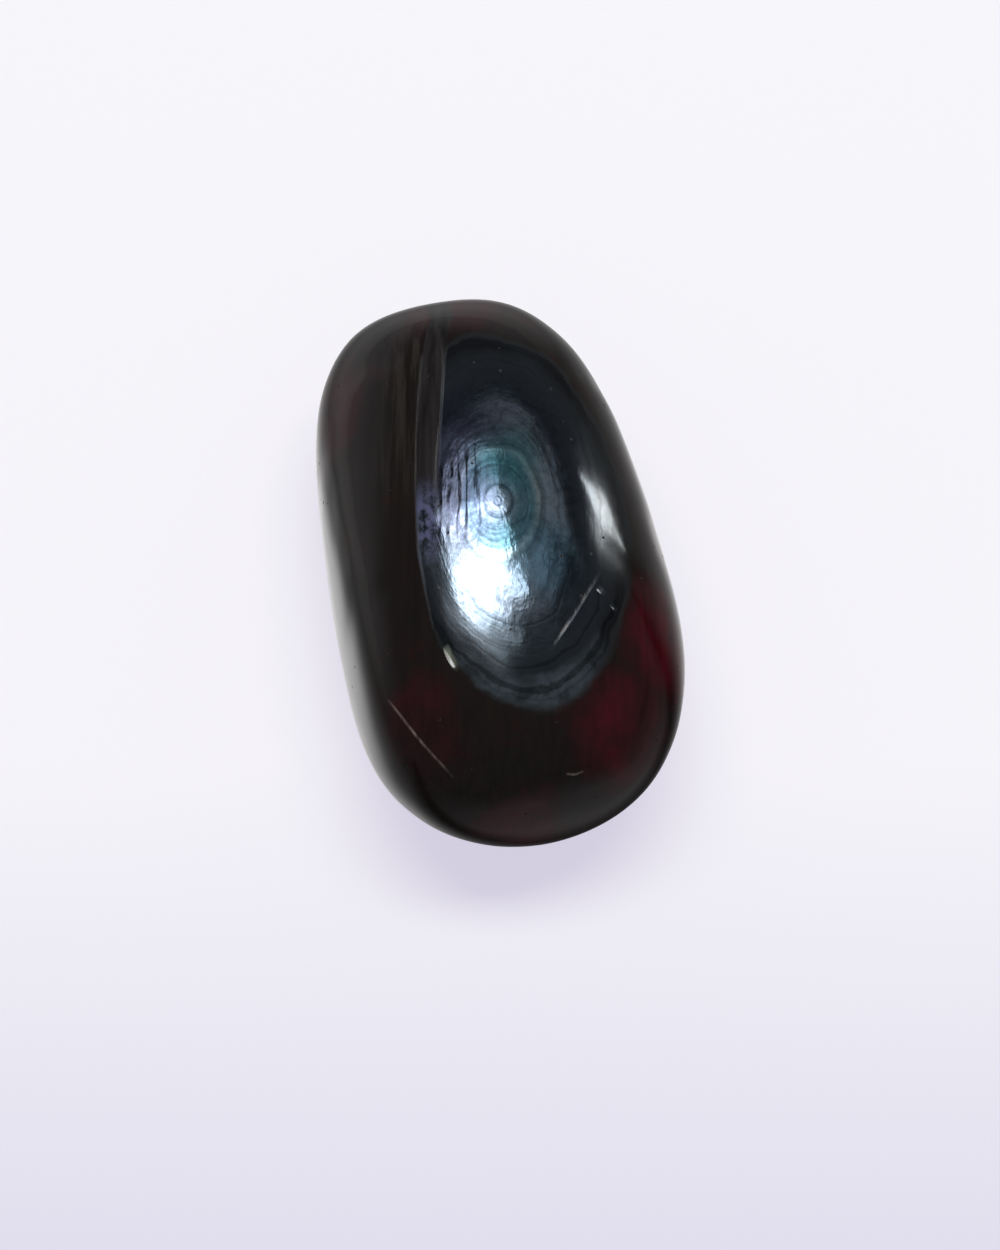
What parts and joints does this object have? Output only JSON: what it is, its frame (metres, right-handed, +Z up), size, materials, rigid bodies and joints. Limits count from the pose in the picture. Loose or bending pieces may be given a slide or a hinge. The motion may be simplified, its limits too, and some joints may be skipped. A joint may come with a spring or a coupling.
{
  "type": "tumbled tiger iron stone",
  "caption": "Oblong tumbled and polished banded stone, egg-like in outline, that lies on a small flat spot worn into its underside.",
  "frame": {"origin": "middle of the footprint, on the surface that the stone rests on", "axes": "+Y along the stone towards its narrower end, +Z up through its thickness, +X across its width"},
  "size_m": [0.0164, 0.028, 0.0128],
  "materials": {
    "polished_tiger_iron": "tumbled to a high polish"
  },
  "bodies": {
    "root": {"stone": "polished_tiger_iron"}
  },
  "joints": []
}
